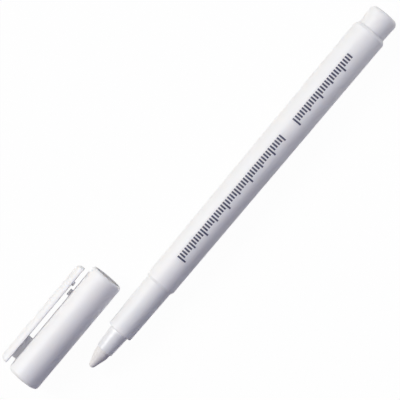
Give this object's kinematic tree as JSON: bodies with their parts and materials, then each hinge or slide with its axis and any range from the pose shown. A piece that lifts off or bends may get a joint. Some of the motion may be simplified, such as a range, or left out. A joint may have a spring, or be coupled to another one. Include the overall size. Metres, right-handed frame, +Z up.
{
  "type": "eraser pen",
  "caption": "Slim fibre-tip eraser pen with a tapered round barrel, stepped neck, bullet nib and tail plug, and its push-on cap with a side clip laid beside it.",
  "frame": {"origin": "on the table, under the middle of the box around the pen and its cap", "axes": "+X along the pen from nib to tail, +Y towards the side where the cap lies, +Z up from the table; the barrel lies along its tapered side, so its axis rises by 0.34 degrees towards the tail"},
  "size_m": [0.1474, 0.027, 0.0105],
  "materials": {
    "shell_plastic": "satin white moulded plastic",
    "nose_plastic": "satin white moulded plastic",
    "nib_felt": "pressed fibre, dull, faintly pink grey",
    "wad_fibre": "bundled fibre",
    "film": "thin clear wrap",
    "straw_plastic": "thin drawn tube",
    "liner_plastic": "soft moulded plastic"
  },
  "bodies": {
    "pen": {"barrel": "shell_plastic", "nose": "nose_plastic", "nib": "nib_felt", "fluid_wad": "wad_fibre", "wad_film": "film", "air_straw": "straw_plastic", "tail_plug": "shell_plastic"},
    "cap": {"cap_shell": "shell_plastic", "cap_liner": "liner_plastic"},
    "clip": {"cap_clip": "shell_plastic"}
  },
  "joints": [
    {"name": "cap_line_up", "type": "slide", "parent": "pen", "child": "cap", "axis": [-0.9688, -0.248, 0], "range_m": [0, 0.05161]},
    {"name": "clip_flex", "type": "hinge", "parent": "cap", "child": "clip", "pos_m": [-0.07056, 0.01119, 0.00517], "axis": [0, 0, 1], "range_deg": [0, 5], "stiffness_Nm_per_rad": 0.8}
  ]
}
